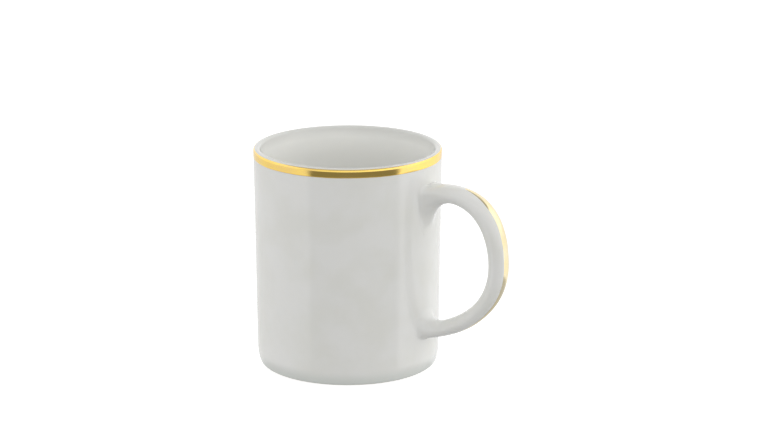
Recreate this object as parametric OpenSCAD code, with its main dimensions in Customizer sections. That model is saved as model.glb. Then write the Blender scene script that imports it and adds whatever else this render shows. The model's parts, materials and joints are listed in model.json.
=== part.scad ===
// Straight-sided mug with a loop handle and fired gold trim.
// The cup stands on z = 0 with its axis on Z, and the handle points along +X.

/* [Cup] */
// Height over the lip
cup_h = 96.6; // [90:0.2:110]
// Outer radius at the rim
rim_r = 41; // [38:0.5:44]
// Lean of the outer wall from upright, in degrees
wall_lean = 0.7; // [0:0.1:1.2]
// Wall thickness below the thin lip
wall_t = 4.2; // [3.6:0.1:5.2]
// Radius of the rounded lip
lip_r = 1.45; // [1.2:0.05:1.7]
// Height over which the inside opens out to the thin lip
ease_h = 12; // [8:1:18]
// Height of the floor inside the cup
floor_z = 8; // [6:0.5:12]
// Radius of the curve between inside wall and floor
floor_round = 9; // [4:0.5:14]

/* [Foot] */
// Radius of the curve between outer wall and foot
base_round = 17; // [12:0.5:18]
// Height where that curve begins
base_curve_z = 6.8; // [6:0.2:8.4]
// Rounding of the foot's outer edge
foot_round = 1.5; // [1:0.1:2]
// Radius of the recess inside the foot ring
recess_r = 33; // [28:0.5:33.5]
// Depth of the recess
recess_h = 2; // [1:0.25:3]

/* [Handle] */
// Height of the handle's centreline at its upper end
top_root_z = 80.4; // [76:0.2:82]
// Height of the handle's centreline at its lower end
low_root_z = 19.2; // [18:0.2:26]
// How far the centreline stands out from the rim's radius
handle_reach = 33.5; // [30:0.1:38]
// Half of the handle's width across the arm
arm_half_w = 5.2; // [4.4:0.1:6.2]
// Part of the handle's path at each end that is the joint with the wall
joint_share = 0.11; // [0.1:0.01:0.14]
// How far the joints spread to each side of the arm on the wall
joint_spread = 3.6; // [1:0.1:4.5]
// How far the upper joint runs along the wall, above the arm and below it
upper_web = [1, 16]; // [1:0.5:18]
// How far the lower joint runs along the wall, below the arm and above it
lower_web = [3, 4]; // [1:0.5:6]

/* [Gold] */
// Thickness of the gold
gold_t = 0.15; // [0.1:0.05:0.3]
// Depth of the rim band below the crown of the lip
band_h = 3.9; // [2.2:0.1:6]
// How far the rim band goes round the lip, where 90 is the crown
band_over = 50; // [30:5:90]
// Half width of the line along the handle
line_half_w = 2.2; // [0.8:0.1:2.6]

/* [Hidden] */
$fn = 96;
glaze = [0.93, 0.93, 0.9];
gold = [0.92, 0.76, 0.36];

// Wall: the outside leans, the inside is a true cylinder
bore_r = rim_r - wall_t;
wall_normal = [cos(wall_lean), -sin(wall_lean)];
lip_c = [rim_r - lip_r, cup_h - lip_r];
wall_top = lip_c + lip_r * wall_normal;
wall_bottom = wall_top - (wall_top.y - base_curve_z) * [tan(wall_lean), 1];
base_c = wall_bottom - base_round * wall_normal;

// The arc of the foot's edge touches the base curve and the table
foot_a = asin((base_c.y - foot_round) / (base_round - foot_round));
foot_c = base_c + (base_round - foot_round) * [cos(foot_a), -sin(foot_a)];

// The inside opens out along an arc that touches both the bore and the lip's circle
lip_in = lip_c.x - bore_r;
ease_r = (ease_h * ease_h + lip_in * lip_in - lip_r * lip_r) / (2 * (lip_in - lip_r));
ease_c = [bore_r + ease_r, lip_c.y - ease_h];
ease_a = asin(ease_h / (ease_r - lip_r));
arc_step = 6; // degrees

// Handle: two cubic curves meet at the outermost point
root_x = rim_r - 3;
outer_x = rim_r + handle_reach;
outer_z = 53.1; // height of the outermost point
top_pull = [31.7, 8]; // the upper curve leaves the wall this way
low_pull = [18, 2.2]; // and the lower one this way
outer_pull = [12.2, 19.6]; // and up and down from the outermost point
half_thick = [3.55, 4.7, 4.15, 3.55, 3.3]; // at even steps from upper to lower end
path_steps = 72;
ring_n = 28;
spine_a = 90; // the section's angle at the outside of the loop
film_steps = [9, 63]; // first and last step of the gold line
film_fade = 9; // steps over which the line narrows at its ends
wall_bite = 0.6; // how far the joints' outline lies inside the rim's radius
root_sink = 3; // and how much deeper their stock starts
web_steps = 10;
joint_square = 0.6; // below 1 the joint's outline is squarer inside the loop

function arc(c, r, a0, a1) =
    let (n = max(2, ceil(abs(a1 - a0) / arc_step)))
    [for (i = [0:n]) c + r * [cos(a0 + (a1 - a0) * i / n), sin(a0 + (a1 - a0) * i / n)]];

function lip_outline(grow) =
    concat([wall_top - (wall_top.y - cup_h + band_h) * [tan(wall_lean), 1] + grow * wall_normal],
           arc(lip_c, lip_r + grow, -wall_lean, band_over));

function outer_outline() =
    concat([[0, recess_h], [recess_r, recess_h], [recess_r, 0]],
           arc(foot_c, foot_round, -90, -foot_a),
           arc(base_c, base_round, -foot_a, -wall_lean),
           lip_outline(0),
           arc(lip_c, lip_r, band_over, 90));

function inner_outline() =
    concat(arc(lip_c, lip_r, 90, 180 - ease_a),
           arc(ease_c, ease_r, 180 - ease_a, 180),
           arc([bore_r - floor_round, floor_z + floor_round], floor_round, 0, -90),
           [[0, floor_z]]);

function bezier(p, t) =
    pow(1 - t, 3) * p[0] + 3 * pow(1 - t, 2) * t * p[1] + 3 * (1 - t) * t * t * p[2] + t * t * t * p[3];

upper_curve = [[root_x, top_root_z], [root_x, top_root_z] + top_pull,
               [outer_x, outer_z + outer_pull[0]], [outer_x, outer_z]];
lower_curve = [[outer_x, outer_z], [outer_x, outer_z - outer_pull[1]],
               [root_x, low_root_z] + low_pull, [root_x, low_root_z]];

// Point, direction and half thickness of the handle at share s of its path
function path_at(s) = s < 0.5 ? bezier(upper_curve, 2 * s) : bezier(lower_curve, 2 * s - 1);
function path_dir(s) =
    let (d = path_at(min(1, s + 0.005)) - path_at(max(0, s - 0.005))) d / norm(d);
function blend(list, s) =
    let (at = s * (len(list) - 1), i = min(len(list) - 2, floor(at)), f = at - i, k = f * f * (3 - 2 * f))
    list[i] * (1 - k) + list[i + 1] * k;

// Half the angle that the gold line covers, narrowing to a point at both ends
function line_angle(i) =
    let (open = min(1, (i - film_steps[0] + 0.6) / film_fade, (film_steps[1] - i + 0.6) / film_fade))
    asin(line_half_w / arm_half_w) * sqrt(max(0.02, open));

// Angles round the section: the line's two edges, its spine, and even steps round the rest
function ring_angles(i) =
    let (g = line_angle(i), rest = ring_n - 3, step = (360 - 2 * g) / (rest + 1))
    concat([spine_a - g, spine_a, spine_a + g], [for (j = [1:rest]) spine_a + g + j * step]);

// A point of the section at step i, with w across the arm and t out from the loop's centreline
function lift(i, w, t) =
    let (p = path_at(i / path_steps), d = path_dir(i / path_steps), q = p + t * [-d.y, d.x])
    [q.x, w, q.y];
function section_point(i, a, grow) =
    lift(i, (arm_half_w + grow) * cos(a), (blend(half_thick, i / path_steps) + grow) * sin(a));
function ring(i) = [for (a = ring_angles(i)) section_point(i, a, 0)];

// Closed solid through a list of rings that all have the same number of points
module skin(rings) {
    n = len(rings[0]);
    last = len(rings) - 1;
    sides = [for (i = [0:last - 1], j = [0:n - 1], k = [0, 1])
        k == 0 ? [i * n + j, i * n + (j + 1) % n, (i + 1) * n + (j + 1) % n]
               : [i * n + j, (i + 1) * n + (j + 1) % n, (i + 1) * n + j]];
    caps = [[for (j = [n - 1:-1:0]) j], [for (j = [0:n - 1]) last * n + j]];
    polyhedron([for (r = rings) each r], concat(sides, caps), convexity = 6);
}

first_step = round(joint_share * path_steps);
last_step = path_steps - first_step;

// A point of a joint's outline on the wall: the arm's section, spread sideways by joint_spread,
// and along the wall by web[0] outside the loop and web[1] inside it
function wall_point(i, a, web) =
    let (p = section_point(i, a, 0), outward = path_dir(i / path_steps).x, outside = sin(a) > 0,
         across = outside ? cos(a) : sign(cos(a)) * pow(abs(cos(a)), joint_square),
         along = outside ? web[0] * sin(a) : -web[1] * pow(-sin(a), joint_square))
    [rim_r, p.y + joint_spread * across, p.z + outward * along];

// The stock of a joint: it starts inside the wall and curves out to the arm's end.
// Rings run from the upper end of the handle's path to the lower end.
module joint_stock(i, web) {
    arm = ring(i);
    corner = [for (p = arm) [rim_r - wall_bite, p.y, p.z]];
    foot = [for (a = ring_angles(i)) wall_point(i, a, web) - [wall_bite, 0, 0]];
    sunk = [for (p = foot) p - [root_sink, 0, 0]];
    curve = [for (k = [0:web_steps])
        let (t = k / web_steps)
        pow(1 - t, 2) * foot + 2 * t * (1 - t) * corner + t * t * arm];
    rings = concat([sunk], curve);
    upper = i < path_steps / 2;
    skin([for (k = [0:len(rings) - 1]) rings[upper ? k : len(rings) - 1 - k]]);
}

module cup_solid() {
    rotate_extrude() polygon(concat(outer_outline(), [[0, cup_h]]));
}

module cup_body() {
    color(glaze) rotate_extrude() polygon(concat(outer_outline(), inner_outline()));
}

module handle() {
    color(glaze) skin([for (i = [first_step:last_step]) ring(i)]);
}

module upper_handle_joint() {
    color(glaze) difference() {
        joint_stock(first_step, upper_web);
        cup_solid();
    }
}

module lower_handle_joint() {
    color(glaze) difference() {
        joint_stock(last_step, lower_web);
        cup_solid();
    }
}

module rim_gold_band() {
    inner = lip_outline(0);
    outer = lip_outline(gold_t);
    color(gold) rotate_extrude()
        polygon(concat(inner, [for (i = [len(outer) - 1:-1:0]) outer[i]]));
}

module handle_gold_line() {
    color(gold) skin([for (i = [film_steps[0]:film_steps[1]])
        let (g = line_angle(i), across = [spine_a - g, spine_a, spine_a + g])
        concat([for (a = across) section_point(i, a, gold_t)],
               [for (j = [2:-1:0]) section_point(i, across[j], 0)])]);
}

cup_body();
handle();
upper_handle_joint();
lower_handle_joint();
rim_gold_band();
handle_gold_line();
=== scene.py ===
import json
import math

import bmesh
import bpy
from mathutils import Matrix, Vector, noise


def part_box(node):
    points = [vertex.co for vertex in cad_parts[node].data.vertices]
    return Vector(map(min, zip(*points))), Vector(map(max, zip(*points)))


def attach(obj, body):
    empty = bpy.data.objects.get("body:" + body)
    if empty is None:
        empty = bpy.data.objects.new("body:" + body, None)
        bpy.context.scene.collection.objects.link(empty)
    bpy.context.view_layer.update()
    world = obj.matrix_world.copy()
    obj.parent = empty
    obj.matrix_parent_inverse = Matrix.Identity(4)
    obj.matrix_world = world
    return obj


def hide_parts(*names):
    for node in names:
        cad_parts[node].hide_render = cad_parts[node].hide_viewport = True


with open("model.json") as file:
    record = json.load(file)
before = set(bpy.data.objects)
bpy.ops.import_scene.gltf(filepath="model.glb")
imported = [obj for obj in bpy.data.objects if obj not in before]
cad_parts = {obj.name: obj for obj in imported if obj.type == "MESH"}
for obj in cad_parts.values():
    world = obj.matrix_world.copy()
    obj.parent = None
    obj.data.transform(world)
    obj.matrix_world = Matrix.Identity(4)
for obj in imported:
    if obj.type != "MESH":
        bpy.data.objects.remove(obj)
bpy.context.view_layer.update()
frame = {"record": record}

mm = 0.001
scene = bpy.context.scene
mounts = {m["name"]: m for m in frame["record"]["mounts"]}
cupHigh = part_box("cup_body")[1]
rimRadius = cupHigh.x
cupHeight = cupHigh.z


def toLinear(hexColour):
    # sRGB hex to the linear values that shaders and lights use
    parts = [int(hexColour[i:i + 2], 16) / 255 for i in (1, 3, 5)]
    linear = [p / 12.92 if p <= 0.04045 else ((p + 0.055) / 1.055) ** 2.4 for p in parts]
    return (*linear, 1.0)


def addNode(tree, kind, sockets=None, **settings):
    # sockets: a value to set or an output to link, by the input's name or number
    made = tree.nodes.new(kind)
    for name, value in settings.items():
        setattr(made, name, value)
    for name, value in (sockets or {}).items():
        if isinstance(value, bpy.types.NodeSocket):
            tree.links.new(value, made.inputs[name])
        else:
            made.inputs[name].default_value = value
    return made


def newMaterial(name):
    material = bpy.data.materials.new(name)
    material.use_nodes = True
    material.node_tree.nodes.clear()
    return material, material.node_tree


# glazed porcelain
# Cast white porcelain under a clear gloss glaze. The eye sees a cool wet white, soft swells in
# the reflections, a faint cloudiness, and more colour where the glaze ran thick.

porcelain = {
    "white": "#EAEAE7",
    "cloud": "#E6E6E1",
    "pooled": "#DADDD8",
    "inside": "#F2F2EE",      # painted light: the inside is painted whiter, to lift the shade that falls inside the cup
    "lip": "#D9D9D5",         # painted shade: the lip, which faces the light from above, is painted darker
    "speck": "#9C958A",
    "insideTo": 39.2,         # mm from the axis
    "insideAbove": 5.0,       # mm above the table
    "lipFrom": 4.8,           # mm below the crown, where the painted shade on the lip starts
    "lipTo": 0.7,
    "cloudSize": 17,          # mm
    "poolFrom": 7.0,          # mm above the table, where the thick glaze starts
    "poolTo": 0.6,
    "speckSpacing": 6.0,      # mm
    "speckSize": 0.10,        # mm
    "speckShare": 0.25,       # of the cells that hold one
    "waveSize": 12,           # mm between swells
    "waveHeight": 0.012,      # mm
    "peelSize": 1.3,          # mm, drawn coarser than the real 0.5 so that it shows
    "peelHeight": 0.0012,     # mm
    "gloss": (0.05, 0.11),    # roughness, from the smoothest to the dullest patch
    "glossPatch": 9,          # mm
}


def glazedPorcelain():
    look = porcelain
    material, tree = newMaterial("glazedPorcelain")
    place = addNode(tree, "ShaderNodeTexCoord").outputs["Object"]
    height = addNode(tree, "ShaderNodeSeparateXYZ", {"Vector": place}).outputs["Z"]

    clouds = addNode(tree, "ShaderNodeTexNoise", {
        "Vector": place, "Scale": 1 / (look["cloudSize"] * mm), "Detail": 3.0}).outputs["Fac"]
    cloudy = addNode(tree, "ShaderNodeMapRange", {
        "Value": clouds, "From Min": 0.4, "From Max": 0.65}).outputs["Result"]
    body = addNode(tree, "ShaderNodeMix", {
        0: cloudy, 6: toLinear(look["white"]), 7: toLinear(look["cloud"])}, data_type="RGBA").outputs[2]

    flat = addNode(tree, "ShaderNodeVectorMath", {
        0: place, 1: (1, 1, 0)}, operation="MULTIPLY").outputs[0]
    radius = addNode(tree, "ShaderNodeVectorMath", {0: flat}, operation="LENGTH").outputs["Value"]
    # painted light: inside the cup and above its floor, the colour is painted whiter to lift the shade
    # there
    within = addNode(tree, "ShaderNodeMapRange", {
        "Value": radius,
        "From Min": look["insideTo"] * mm, "From Max": (look["insideTo"] - 1) * mm}).outputs["Result"]
    above = addNode(tree, "ShaderNodeMath", {
        0: height, 1: look["insideAbove"] * mm}, operation="GREATER_THAN").outputs[0]
    inside = addNode(tree, "ShaderNodeMath", {0: within, 1: above}, operation="MULTIPLY").outputs[0]
    body = addNode(tree, "ShaderNodeMix", {
        0: inside, 6: body, 7: toLinear(look["inside"])}, data_type="RGBA").outputs[2]

    # painted shade: the top of the cup, made bright by the light from above, is painted darker from lipFrom
    # to lipTo below the crown
    lipShade = addNode(tree, "ShaderNodeMapRange", {
        "Value": height, "From Min": cupHeight - look["lipFrom"] * mm,
        "From Max": cupHeight - look["lipTo"] * mm}).outputs["Result"]
    body = addNode(tree, "ShaderNodeMix", {
        0: lipShade, 6: body, 7: toLinear(look["lip"])}, data_type="RGBA").outputs[2]

    # the glaze runs down and gathers above the foot
    pool = addNode(tree, "ShaderNodeMapRange", {
        "Value": height, "From Min": look["poolFrom"] * mm, "From Max": look["poolTo"] * mm},
        interpolation_type="SMOOTHSTEP").outputs["Result"]
    pooled = addNode(tree, "ShaderNodeMix", {
        0: pool, 6: body, 7: toLinear(look["pooled"])}, data_type="RGBA").outputs[2]

    # a few tiny iron specks, each in a cell of its own
    cells = addNode(tree, "ShaderNodeTexVoronoi", {
        "Vector": place, "Scale": 1 / (look["speckSpacing"] * mm)})
    spot = addNode(tree, "ShaderNodeMapRange", {
        "Value": cells.outputs["Distance"], "To Min": 1.0, "To Max": 0.0,
        "From Min": 0.5 * look["speckSize"] / look["speckSpacing"],
        "From Max": 1.2 * look["speckSize"] / look["speckSpacing"]}).outputs["Result"]
    chosen = addNode(tree, "ShaderNodeSeparateColor", {"Color": cells.outputs["Color"]}).outputs["Red"]
    rare = addNode(tree, "ShaderNodeMath", {
        0: chosen, 1: look["speckShare"]}, operation="LESS_THAN").outputs[0]
    speck = addNode(tree, "ShaderNodeMath", {0: spot, 1: rare}, operation="MULTIPLY").outputs[0]
    colour = addNode(tree, "ShaderNodeMix", {
        0: speck, 6: pooled, 7: toLinear(look["speck"])}, data_type="RGBA").outputs[2]

    patches = addNode(tree, "ShaderNodeTexNoise", {
        "Vector": place, "Scale": 1 / (look["glossPatch"] * mm), "Detail": 2.0}).outputs["Fac"]
    gloss = addNode(tree, "ShaderNodeMapRange", {
        "Value": patches, "From Min": 0.35, "From Max": 0.65,
        "To Min": look["gloss"][0], "To Max": look["gloss"][1]}).outputs["Result"]

    swells = addNode(tree, "ShaderNodeTexNoise", {
        "Vector": place, "Scale": 1 / (look["waveSize"] * mm), "Detail": 1.0}).outputs["Fac"]
    swellBump = addNode(tree, "ShaderNodeBump", {
        "Height": swells, "Distance": look["waveHeight"] * mm, "Strength": 1.0}).outputs["Normal"]
    peel = addNode(tree, "ShaderNodeTexNoise", {
        "Vector": place, "Scale": 1 / (look["peelSize"] * mm), "Detail": 1.0}).outputs["Fac"]
    peelBump = addNode(tree, "ShaderNodeBump", {
        "Height": peel, "Distance": look["peelHeight"] * mm, "Strength": 1.0,
        "Normal": swellBump}).outputs["Normal"]

    shader = addNode(tree, "ShaderNodeBsdfPrincipled", {
        "Base Color": colour, "Roughness": gloss, "IOR": 1.5, "Normal": peelBump,
        "Subsurface Weight": 0.08, "Subsurface Radius": (1.0, 0.9, 0.8), "Subsurface Scale": 1.2 * mm})
    addNode(tree, "ShaderNodeOutputMaterial", {"Surface": shader.outputs["BSDF"]})
    return material


# unglazed bisque
# The ring that the cup stands on is wiped clean before firing and ground after it. It is matt,
# a little warmer than the glaze, with a fine grain and grey rubs from tables.

bisque = {
    "clay": "#D9D5CB",
    "rub": "#A9A59D",
    "grainSize": 0.35,        # mm
    "grainHeight": 0.02,      # mm
    "rubSize": 4.0,           # mm
    "roughness": 0.78,
}


def bareBisque():
    look = bisque
    material, tree = newMaterial("bareBisque")
    place = addNode(tree, "ShaderNodeTexCoord").outputs["Object"]
    rubs = addNode(tree, "ShaderNodeTexNoise", {
        "Vector": place, "Scale": 1 / (look["rubSize"] * mm), "Detail": 5.0,
        "Roughness": 0.7}).outputs["Fac"]
    rubbed = addNode(tree, "ShaderNodeMapRange", {
        "Value": rubs, "From Min": 0.52, "From Max": 0.75, "To Max": 0.7}).outputs["Result"]
    colour = addNode(tree, "ShaderNodeMix", {
        0: rubbed, 6: toLinear(look["clay"]), 7: toLinear(look["rub"])}, data_type="RGBA").outputs[2]
    grain = addNode(tree, "ShaderNodeTexNoise", {
        "Vector": place, "Scale": 1 / (look["grainSize"] * mm), "Detail": 2.0}).outputs["Fac"]
    rough = addNode(tree, "ShaderNodeBump", {
        "Height": grain, "Distance": look["grainHeight"] * mm, "Strength": 0.8}).outputs["Normal"]
    shader = addNode(tree, "ShaderNodeBsdfPrincipled", {
        "Base Color": colour, "Roughness": look["roughness"], "IOR": 1.5, "Normal": rough})
    addNode(tree, "ShaderNodeOutputMaterial", {"Surface": shader.outputs["BSDF"]})
    return material


# fired bright gold
# Liquid gold is brushed on the fired glaze and fired again. It is a mirror with fine streaks
# along the stroke, paler where it went on thin, and hazy where hands have rubbed it.

gold = {
    "rim": ("#FDDA76", "#F4CF86"),    # where the film is full, and where it is thin
    "line": ("#E8D9AE", "#ECE2C8"),   # the line is much the paler
    "streak": 0.22,           # mm between brush streaks
    "streakLength": 9,        # mm
    "streakHeight": 0.0012,   # mm
    "patch": 8,               # mm
    "gloss": (0.09, 0.2),     # roughness, from the smoothest to the dullest patch
}


def firedGold(name, across, tints):
    # across is 0, 1 or 2: the axis that cuts across the brush stroke
    look = gold
    material, tree = newMaterial(name)
    place = addNode(tree, "ShaderNodeTexCoord").outputs["Object"]
    stretch = [1 / (look["streakLength"] * mm)] * 3
    stretch[across] = 1 / (look["streak"] * mm)
    drawn = addNode(tree, "ShaderNodeMapping", {"Vector": place, "Scale": stretch}).outputs["Vector"]
    streaks = addNode(tree, "ShaderNodeTexNoise", {
        "Vector": drawn, "Scale": 1.0, "Detail": 3.0, "Roughness": 0.6}).outputs["Fac"]
    patches = addNode(tree, "ShaderNodeTexNoise", {
        "Vector": place, "Scale": 1 / (look["patch"] * mm), "Detail": 3.0}).outputs["Fac"]
    both = addNode(tree, "ShaderNodeMath", {0: streaks, 1: patches}, operation="MULTIPLY").outputs[0]
    thin = addNode(tree, "ShaderNodeMapRange", {
        "Value": both, "From Min": 0.2, "From Max": 0.42}).outputs["Result"]
    colour = addNode(tree, "ShaderNodeMix", {
        0: thin, 6: toLinear(tints[0]), 7: toLinear(tints[1])}, data_type="RGBA").outputs[2]
    gloss = addNode(tree, "ShaderNodeMapRange", {
        "Value": patches, "From Min": 0.35, "From Max": 0.65,
        "To Min": look["gloss"][0], "To Max": look["gloss"][1]}).outputs["Result"]
    stroke = addNode(tree, "ShaderNodeBump", {
        "Height": streaks, "Distance": look["streakHeight"] * mm, "Strength": 1.0}).outputs["Normal"]
    shader = addNode(tree, "ShaderNodeBsdfPrincipled", {
        "Base Color": colour, "Roughness": gloss, "Metallic": 1.0, "Normal": stroke})
    addNode(tree, "ShaderNodeOutputMaterial", {"Surface": shader.outputs["BSDF"]})
    return material


# shared shaping

creaseFrom = 35               # degrees between faces, from where an edge is drawn sharp

kiln = {
    "still": 5.0,             # mm from the axis, within which nothing moves
    "stray": 0.06,            # mm that the fired body strays from true
    "straySize": 38,          # mm from one high to the next
}


def fired(co):
    # porcelain moves a little in the kiln, and everything on it moves along
    outward = Vector((co.x, co.y, 0))
    if outward.length < kiln["still"] * mm:
        return co
    return co + outward.normalized() * noise.noise(co / (kiln["straySize"] * mm)) * kiln["stray"] * mm


def chain(bm, points, closed=False):
    verts = [bm.verts.new(point) for point in points]
    pairs = list(zip(verts, verts[1:])) + ([(verts[-1], verts[0])] if closed else [])
    return verts, [bm.edges.new(pair) for pair in pairs]


def newPiece(bm, name, *materials):
    for edge in bm.edges:
        edge.smooth = len(edge.link_faces) < 2 or edge.calc_face_angle() < math.radians(creaseFrom)
    for face in bm.faces:
        face.smooth = True
    mesh = bpy.data.meshes.new(name)
    bm.to_mesh(mesh)
    bm.free()
    for material in materials:
        mesh.materials.append(material)
    piece = bpy.data.objects.new(name, mesh)
    scene.collection.objects.link(piece)
    return piece


def spinRound(bm, steps):
    bmesh.ops.spin(bm, geom=bm.verts[:] + bm.edges[:], cent=(0, 0, 0), axis=(0, 0, 1),
                   angle=math.tau, steps=steps, use_merge=True)
    bmesh.ops.remove_doubles(bm, verts=bm.verts[:], dist=0.0005 * mm)
    bmesh.ops.recalc_face_normals(bm, faces=bm.faces[:])


# the cup

cup = {
    "lean": 0.7,              # degrees that the wall leans in towards the foot
    "lipRound": 1.42,         # mm
    "lipFlat": 0.06,          # mm between the two rounds of the lip
    "bore": mounts["inside"]["dims"]["r_mm"],
    "mouthStart": 88.9,       # mm up, where the inside opens out to the thin lip
    "mouthRound": 50,
    "floorAt": 8.0,
    "floorRound": 9.0,
    "recess": mounts["foot_recess"]["dims"]["r_mm"],
    "recessDepth": mounts["foot_recess"]["dims"]["length_mm"],
    "recessRound": 1.2,
    "footInnerRound": 0.5,
    "footRound": 1.5,
    "footWidth": 5.46,        # mm from the recess to where the flank would meet the table
    "flankTilt": 20.8,        # degrees from upright of the flank between foot and wall
    "flankRound": 17,
    "arcSteps": 10,
    "turns": 192,             # steps round the axis
    "longest": 2.5,           # mm, the longest edge along the outline
    "wiped": 0.3,             # mm up the foot that the glaze is wiped off
}


def slope(degrees):
    return math.tan(math.radians(degrees))


def wallRadius(z):
    return rimRadius - (cupHeight - cup["lipRound"] * mm - z) * slope(cup["lean"])


def cupCorners():
    # (radius, height, rounding) in mm of each corner of the half section
    rim, height, wall = rimRadius / mm, cupHeight / mm, wallRadius(0) / mm
    flankFoot = cup["recess"] + cup["footWidth"]
    flankTop = (wall - flankFoot) / (slope(cup["flankTilt"]) - slope(cup["lean"]))
    return [
        (0, cup["recessDepth"], 0),
        (cup["recess"], cup["recessDepth"], cup["recessRound"]),
        (cup["recess"], 0, cup["footInnerRound"]),
        (flankFoot, 0, cup["footRound"]),
        (wall + flankTop * slope(cup["lean"]), flankTop, cup["flankRound"]),
        (rim, height, cup["lipRound"]),
        (rim - 2 * cup["lipRound"] - cup["lipFlat"], height, cup["lipRound"]),
        (cup["bore"], cup["mouthStart"], cup["mouthRound"]),
        (cup["bore"], cup["floorAt"], cup["floorRound"]),
        (0, cup["floorAt"], 0),
    ]


def roundedWire(bm, corners):
    # a wire through the corners, with a vertex bevel at each that is rounded
    verts, edges = chain(bm, [Vector((x, 0, z)) * mm for x, z, rounding in corners])
    for vert, (x, z, rounding) in zip(verts, corners):
        if rounding:
            ways = [edge.other_vert(vert).co - vert.co for edge in vert.link_edges]
            turn = math.pi - ways[0].angle(ways[1])
            bmesh.ops.bevel(bm, geom=[vert], offset=rounding * mm * math.tan(turn / 2),
                            offset_type="OFFSET", segments=cup["arcSteps"], profile=0.5,
                            affect="VERTICES", material=-1)
    for edge in list(bm.edges):
        cuts = int(edge.calc_length() / (cup["longest"] * mm))
        if cuts:
            bmesh.ops.subdivide_edges(bm, edges=[edge], cuts=cuts)


def makeCup(glaze, bare):
    bm = bmesh.new()
    roundedWire(bm, cupCorners())
    spinRound(bm, cup["turns"])
    for face in bm.faces:
        middle = face.calc_center_median()
        onRing = math.hypot(middle.x, middle.y) > (cup["recess"] - 0.1) * mm
        face.material_index = int(onRing and middle.z < cup["wiped"] * mm)
    for vert in bm.verts:
        vert.co = fired(vert.co)
    return newPiece(bm, "cup", glaze, bare)


# the gold on the lip

rimGold = {
    "depth": 3.9,             # mm down from the crown
    "overCrown": 50,          # degrees round the lip, where 90 is its crown
    "proud": 0.03,            # mm above the glaze
    "under": 0.12,            # mm that the film's underside lies below the glaze
    "feather": 0.15,          # mm over which the lower edge rises to its full height
    "full": 0.9,              # mm above the edge, where the film still has that height
    "steps": 16,              # over the lip
    "wander": 0.12,           # mm that the brushed lower edge wanders
    "wanderSize": 14,         # mm
}


def lipPoint(angle, proud):
    centre = Vector((rimRadius - cup["lipRound"] * mm, 0, cupHeight - cup["lipRound"] * mm))
    reach = cup["lipRound"] * mm + proud * mm
    return centre + Vector((math.cos(math.radians(angle)), 0, math.sin(math.radians(angle)))) * reach


def bandSide(proud, edgeProud):
    # up the wall and over the lip
    low = cupHeight - rimGold["depth"] * mm
    angles = [rimGold["overCrown"] * i / rimGold["steps"] for i in range(rimGold["steps"] + 1)]
    wall = [Vector((wallRadius(z) + p * mm, 0, z)) for z, p in
            ((low, edgeProud), (low + rimGold["feather"] * mm, proud), (low + rimGold["full"] * mm, proud))]
    return wall + [lipPoint(angle, proud) for angle in angles[:-1]] + [lipPoint(angles[-1], edgeProud)]


def makeRimGold(goldLook):
    bm = bmesh.new()
    top = bandSide(rimGold["proud"], 0)
    under = bandSide(-rimGold["under"], -rimGold["under"])
    chain(bm, top + under[::-1], closed=True)
    spinRound(bm, cup["turns"])
    lipLevel = cupHeight - cup["lipRound"] * mm
    for vert in bm.verts:
        # the lower edge wanders, and the pull fades out up to the lip
        drop = max(0, lipLevel - vert.co.z) / (lipLevel - cupHeight + rimGold["depth"] * mm)
        round3d = Vector((vert.co.x, vert.co.y, 0)) / (rimGold["wanderSize"] * mm)
        vert.co.z += noise.noise(round3d) * rimGold["wander"] * mm * drop
        vert.co = fired(vert.co)
    return newPiece(bm, "rimGoldBand", goldLook)


# the handle and its joints

handle = {
    "rootX": 38.0,            # mm from the axis, inside the wall, where both curves end
    "upperRootZ": 80.4,
    "lowerRootZ": 19.2,
    "outermost": (74.5, 53.1),
    "upperPull": (31.7, 8.0),  # mm, how the upper curve leaves the wall
    "lowerPull": (18.0, 2.2),
    "outerPull": (12.2, 19.6),  # mm up and down from the outermost point
    "halfThick": (3.55, 4.7, 4.15, 3.55, 3.3),  # mm, at even steps from upper to lower end
    "halfWide": 5.2,
    "jointShare": 0.11,       # part of the path at each end that belongs to a joint
    "spread": 3.6,            # mm that a joint spreads to each side on the wall
    "upperWeb": (0.2, 16.0),  # mm along the wall, outside the loop and inside it
    "lowerWeb": (0.8, 7.0),
    "square": 0.6,            # 1 flares the foot as an ellipse inside the loop, less is squarer
    "tuck": 5,                # and outside it, more keeps the spread to the two sides
    "sunk": 1.5,              # mm that the joints' stock goes into the wall
    "round": 64,              # points round the section
    "armSteps": 150,
    "webSteps": 20,
}


def bezier(points, t):
    a, b, c, d = (Vector(point) for point in points)
    return (1 - t) ** 3 * a + 3 * (1 - t) ** 2 * t * b + 3 * (1 - t) * t * t * c + t ** 3 * d


def pathAt(share):
    # the centreline in the plane of the loop: mm from the axis, mm up
    outX, outZ = handle["outermost"]
    upper = Vector((handle["rootX"], handle["upperRootZ"]))
    lower = Vector((handle["rootX"], handle["lowerRootZ"]))
    if share < 0.5:
        return bezier([upper, upper + Vector(handle["upperPull"]),
                       (outX, outZ + handle["outerPull"][0]), (outX, outZ)], 2 * share)
    return bezier([(outX, outZ), (outX, outZ - handle["outerPull"][1]),
                   lower + Vector(handle["lowerPull"]), lower], 2 * share - 1)


def pathWay(share):
    return (pathAt(min(1, share + 0.004)) - pathAt(max(0, share - 0.004))).normalized()


def halfThickAt(share):
    marks = handle["halfThick"]
    i = min(len(marks) - 2, int(share * (len(marks) - 1)))
    part = share * (len(marks) - 1) - i
    ease = part * part * (3 - 2 * part)
    return marks[i] * (1 - ease) + marks[i + 1] * ease


def onSection(share, angle, proud=0.0):
    # a point on the handle's skin; a quarter turn is the spine, outside the loop
    middle, way = pathAt(share), pathWay(share)
    outward = (halfThickAt(share) + proud) * math.sin(angle)
    across = (handle["halfWide"] + proud) * math.cos(angle)
    return Vector((middle.x - way.y * outward, across, middle.y + way.x * outward)) * mm


def toWall(co):
    # metres along the wall, up it, and out from it
    return Vector((math.atan2(co.y, co.x) * rimRadius, co.z, math.hypot(co.x, co.y) - wallRadius(co.z)))


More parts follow.
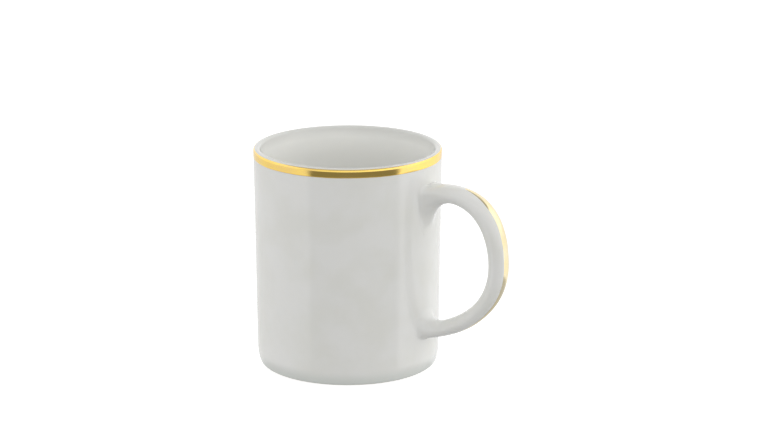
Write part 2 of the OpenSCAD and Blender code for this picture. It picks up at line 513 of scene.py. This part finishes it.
def fromWall(p):
    reach, turn = wallRadius(p.y) + p.z, p.x / rimRadius
    return Vector((reach * math.cos(turn), reach * math.sin(turn), p.y))


def sectionAngles():
    return [math.tau * i / handle["round"] for i in range(handle["round"])]


def armRing(share):
    return [onSection(share, angle) for angle in sectionAngles()]


def skinAtHeight(end, angle, height):
    # the point on the skin, between the arm's end and the root, that is so far off the wall
    near, far = round(end), end
    for _ in range(16):
        middle = (near + far) / 2
        co = toWall(onSection(middle, angle))
        near, far = (middle, far) if co.z < height else (near, middle)
    return co


def webRing(end, web, t):
    # t runs from 0 on the wall to 1 at the arm's end; the skin flares out to lie flat on the wall
    outward = math.copysign(1, pathWay(end).x)
    ring = []
    for angle, arm in zip(sectionAngles(), armRing(end)):
        co = skinAtHeight(end, angle, toWall(arm).z * t * t)
        inside = (1 - math.sin(angle)) / 2
        reach = web[0] * (1 - inside) + web[1] * inside
        across, along = math.cos(angle), math.sin(angle)
        if along < 0:
            across, along = (math.copysign(abs(v) ** handle["square"], v) for v in (across, along))
        else:
            across = across ** handle["tuck"]
        flare = Vector((handle["spread"] * across, outward * along * reach, 0)) * mm
        ring.append(fromWall(co + (1 - t) ** 2 * flare))
    return ring


def sunkRing(ring):
    return [fromWall(toWall(co) - Vector((0, 0, handle["sunk"] * mm))) for co in ring]


def handleRings():
    # from inside the wall at the upper joint, round the loop, to inside it at the lower one
    first, last = handle["jointShare"], 1 - handle["jointShare"]
    webSteps, armSteps = handle["webSteps"], handle["armSteps"]
    upper = [webRing(first, handle["upperWeb"], i / webSteps) for i in range(webSteps)]
    arm = [armRing(first + (last - first) * i / armSteps) for i in range(armSteps + 1)]
    lower = [webRing(last, handle["lowerWeb"], i / webSteps) for i in reversed(range(webSteps))]
    return [sunkRing(upper[0])] + upper + arm + lower + [sunkRing(lower[-1])]


def tubeThrough(rings):
    # a wire for each ring, bridged to the next
    bm = bmesh.new()
    number = bm.verts.layers.int.new("ring")
    before = None
    for i, places in enumerate(rings):
        verts, edges = chain(bm, [fired(place) for place in places], closed=True)
        for vert in verts:
            vert[number] = i
        if before:
            bmesh.ops.bridge_loops(bm, edges=before + edges)
        before = edges
    return bm


def closeEnds(bm):
    bmesh.ops.holes_fill(bm, edges=[edge for edge in bm.edges if edge.is_boundary], sides=0)
    bmesh.ops.recalc_face_normals(bm, faces=bm.faces[:])


def cutFromHandle(name, rings, first, last, glaze):
    # the whole handle is shaped, its normals are kept, and the rings outside this piece are cut away,
    # so that the pieces meet with no line in the gloss
    bm = tubeThrough(rings)
    closeEnds(bm)
    bm.normal_update()
    number = bm.verts.layers.int["ring"]
    kept = bm.verts.layers.float_vector.new("kept")
    onWall = (1, len(rings) - 2)
    for vert in bm.verts:
        outward = Vector((vert.co.x, vert.co.y, 0)).normalized()
        wallWay = (outward - Vector((0, 0, slope(cup["lean"])))).normalized()
        vert[kept] = wallWay if vert[number] in onWall else vert.normal
    outside = [vert for vert in bm.verts if not first <= vert[number] <= last]
    bmesh.ops.delete(bm, geom=outside, context="VERTS")
    closeEnds(bm)
    piece = newPiece(bm, name, glaze)
    mesh = piece.data
    soft = [Vector(entry.vector) for entry in mesh.attributes["kept"].data]
    ringOf = [entry.value for entry in mesh.attributes["ring"].data]
    normals = []
    for face in mesh.polygons:
        cap = len(face.vertices) > 4
        sunk = {0, len(rings) - 1} & {ringOf[v] for v in face.vertices}
        normals += [face.normal if cap or sunk else soft[v] for v in face.vertices]
    mesh.normals_split_custom_set(normals)
    mesh.attributes.remove(mesh.attributes["kept"])
    mesh.attributes.remove(mesh.attributes["ring"])
    return piece


def makeHandle(glaze):
    rings = handleRings()
    upperEnd = 1 + handle["webSteps"]
    lowerStart = upperEnd + handle["armSteps"]
    return (cutFromHandle("handleLoop", rings, upperEnd, lowerStart, glaze),
            cutFromHandle("upperJoint", rings, 0, upperEnd, glaze),
            cutFromHandle("lowerJoint", rings, lowerStart, len(rings) - 1, glaze))


# the gold line on the spine

lineGold = {
    "from": 0.125,            # share of the handle's path
    "to": 0.875,
    "halfWidth": 2.2,         # mm
    "taper": 0.10,            # share of the path over which each end narrows
    "tip": 0.35,              # mm, half width left at the very end
    "proud": 0.03,            # mm above the glaze
    "under": 0.12,            # mm that the film's underside lies below the glaze
    "across": 8,              # steps from edge to edge
    "steps": 160,             # steps along it
    "wander": 0.07,           # mm that each edge wanders
    "wanderSize": 9,          # mm
    "apart": 7,               # how far from the axis of the noise each edge is read, so that they differ
}


def lineRing(share):
    look = lineGold
    gap = min(share - look["from"], look["to"] - share)
    opened = math.sqrt(min(1, max(0, gap) / look["taper"]))
    half = look["tip"] + (look["halfWidth"] - look["tip"]) * opened
    middle = pathAt(share)
    along = Vector((middle.x, middle.y, 0)) / look["wanderSize"]
    edges = [half + look["wander"] * noise.noise(along + Vector((0, 0, side * look["apart"])))
             for side in (-1, 1)]
    left, right = (math.asin(edge / handle["halfWide"]) for edge in edges)
    angles = [math.pi / 2 + left * (1 - i / look["across"]) - right * i / look["across"]
              for i in range(look["across"] + 1)]
    top = [onSection(share, angle, 0 if i in (0, look["across"]) else look["proud"])
           for i, angle in enumerate(angles)]
    return top + [onSection(share, angle, -look["under"]) for angle in reversed(angles)]


def makeLineGold(goldLook):
    steps = lineGold["steps"]
    bm = tubeThrough([lineRing(lineGold["from"] + (lineGold["to"] - lineGold["from"]) * i / steps)
                      for i in range(steps + 1)])
    closeEnds(bm)
    bm.verts.layers.int.remove(bm.verts.layers.int["ring"])
    return newPiece(bm, "handleGoldLine", goldLook)


# the room: a pale lit table in a white tent, with a dark opening at one side

room = {
    "tableSize": 60.0,        # m
    "table": "#CFCFCD",
    "tableGlow": 0.65,        # an opal sheet lit from below, so that no shadow lies on it
    "turn": 30.0,             # degrees, the side that the opening is on
    # from straight down to straight up: how many degrees up each ring of the tent starts, and
    # along it (degrees round from the opening, brightness)
    "tent": (
        (-90, ((-180, 0.5), (180, 0.5))),
        (-50, ((-180, 0.7), (-112, 0.5), (-50, 0.56), (-45, 0.5),
               (63, 0.5), (69, 0.58), (120, 0.6), (180, 0.7))),
        (-24, ((-180, 0.88), (-112, 0.9), (-50, 0.96), (-45, 0.24),
               (63, 0.24), (69, 1.32), (120, 1.22), (180, 0.88))),
        (0, ((-180, 1.15), (-110, 1.1), (-47, 0.9), (0, 1.1),
             (30, 1.2), (66, 1.4), (100, 1.22), (180, 1.15))),
        (50, ((-180, 0.5), (180, 0.5))),
    ),
    "tentSoft": 0.05,         # sine of the angle over which one ring passes into the next
}

# each light: degrees round from the opening, degrees up, metres away, size in metres, watts, colour
lamps = {
    "overhead": (0, 88, 1.7, 1.8, 1, "#FFFFFF"),
    "left": (-80, 24, 2.1, 1.6, 1.2, "#FFFFFF"),
    "right": (105, 30, 2.1, 1.6, 1.8, "#FFFFFF"),
}
lampTarget = Vector((0.01, 0, 0.05))


def makeTable():
    material, tree = newMaterial("opalTable")
    shader = addNode(tree, "ShaderNodeBsdfPrincipled", {
        "Base Color": toLinear(room["table"]), "Roughness": 0.9, "Specular IOR Level": 0.2,
        "Emission Color": toLinear("#FFFFFF"), "Emission Strength": room["tableGlow"]})
    addNode(tree, "ShaderNodeOutputMaterial", {"Surface": shader.outputs["BSDF"]})
    bm = bmesh.new()
    bmesh.ops.create_grid(bm, x_segments=1, y_segments=1, size=room["tableSize"] / 2)
    for vert in bm.verts:
        vert.co.z = -0.02 * mm
    table = newPiece(bm, "table", material)
    # the tent's lower rings stand for what the table throws back, so the table is only for the eye
    table.visible_diffuse = False
    table.visible_glossy = False
    table.visible_shadow = False


def makeTent():
    world = bpy.data.worlds.new("tent")
    world.use_nodes = True
    tree = world.node_tree
    tree.nodes.clear()
    seen = addNode(tree, "ShaderNodeTexCoord").outputs["Generated"]
    turned = addNode(tree, "ShaderNodeVectorRotate", {
        "Vector": seen, "Axis": (0, 0, 1), "Angle": -math.radians(room["turn"])},
        rotation_type="AXIS_ANGLE").outputs["Vector"]
    way = addNode(tree, "ShaderNodeSeparateXYZ", {"Vector": turned}).outputs
    towards = addNode(tree, "ShaderNodeMath", {0: way["Y"], 1: -1.0}, operation="MULTIPLY").outputs[0]
    around = addNode(tree, "ShaderNodeMath", {0: way["X"], 1: towards}, operation="ARCTAN2").outputs[0]
    share = addNode(tree, "ShaderNodeMapRange", {
        "Value": around, "From Min": -math.pi, "From Max": math.pi}).outputs["Result"]
    bright = (0, 0, 0, 1)
    for degreesUp, stops in room["tent"]:
        ring = addNode(tree, "ShaderNodeValToRGB", {"Fac": share})
        elements = ring.color_ramp.elements
        while len(elements) < len(stops):
            elements.new(0.5)
        for element, (degreesRound, strength) in zip(elements, stops):
            element.position = 0.5 + degreesRound / 360
            element.color = (strength, strength, strength, 1)
        start = math.sin(math.radians(degreesUp))
        passed = addNode(tree, "ShaderNodeMapRange", {
            "Value": way["Z"], "From Min": start - room["tentSoft"], "From Max": start + 0.001},
            interpolation_type="SMOOTHSTEP").outputs["Result"]
        bright = addNode(tree, "ShaderNodeMix", {
            0: passed, 6: bright, 7: ring.outputs["Color"]}, data_type="RGBA").outputs[2]
    air = addNode(tree, "ShaderNodeBackground", {"Color": bright, "Strength": 1.0})
    addNode(tree, "ShaderNodeOutputWorld", {"Surface": air.outputs["Background"]})
    scene.world = world


def makeLamps():
    for name, (around, up, away, size, power, colour) in lamps.items():
        turn = math.radians(room["turn"] + around)
        rise = math.radians(up)
        light = bpy.data.lights.new(name, "AREA")
        light.shape = "SQUARE"
        light.size = size
        light.energy = power
        light.color = toLinear(colour)[:3]
        lamp = bpy.data.objects.new(name, light)
        out = Vector((math.sin(turn) * math.cos(rise), -math.cos(turn) * math.cos(rise), math.sin(rise)))
        lamp.location = lampTarget + out * away
        lamp.rotation_euler = out.to_track_quat("Z", "Y").to_euler()
        scene.collection.objects.link(lamp)


# the camera

view = {
    "turn": 30,               # degrees round the cup from facing the handle's side
    "reach": 1.1533,          # m out from the axis
    "aside": 0.01403,         # m to the right
    "up": 0.3803,             # m
    "tilt": 15.24,            # degrees down
    "lens": 129.47,           # mm
}


def makeCamera():
    turn = math.radians(view["turn"])
    data = bpy.data.cameras.new("camera")
    data.lens = view["lens"]
    data.sensor_width = 36
    data.clip_start = 0.05
    camera = bpy.data.objects.new("camera", data)
    camera.location = (view["aside"] * math.cos(turn) + view["reach"] * math.sin(turn),
                       view["aside"] * math.sin(turn) - view["reach"] * math.cos(turn), view["up"])
    camera.rotation_euler = (math.radians(90 - view["tilt"]), 0, turn)
    scene.collection.objects.link(camera)
    scene.camera = camera


# putting it together

makeCamera()
makeTable()
makeTent()
makeLamps()
print("room and camera made")

glaze = glazedPorcelain()
cupPiece = makeCup(glaze, bareBisque())
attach(cupPiece, "root")
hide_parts("cup_body")
print("cup made")

handlePiece, upperPiece, lowerPiece = makeHandle(glaze)
for piece, node, slot in ((handlePiece, "handle", "handle_glaze"),
                          (upperPiece, "upper_handle_joint", "joint_glaze"),
                          (lowerPiece, "lower_handle_joint", "joint_glaze")):
    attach(piece, "root")
    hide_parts(node)
print("handle and joints made")

bandPiece = makeRimGold(firedGold("rimFiredGold", 2, gold["rim"]))
linePiece = makeLineGold(firedGold("lineFiredGold", 1, gold["line"]))
for piece, node, slot in ((bandPiece, "rim_gold_band", "rim_gold"),
                          (linePiece, "handle_gold_line", "line_gold")):
    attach(piece, "root")
    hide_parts(node)
print("gold made")

scene.view_settings.view_transform = "Standard"
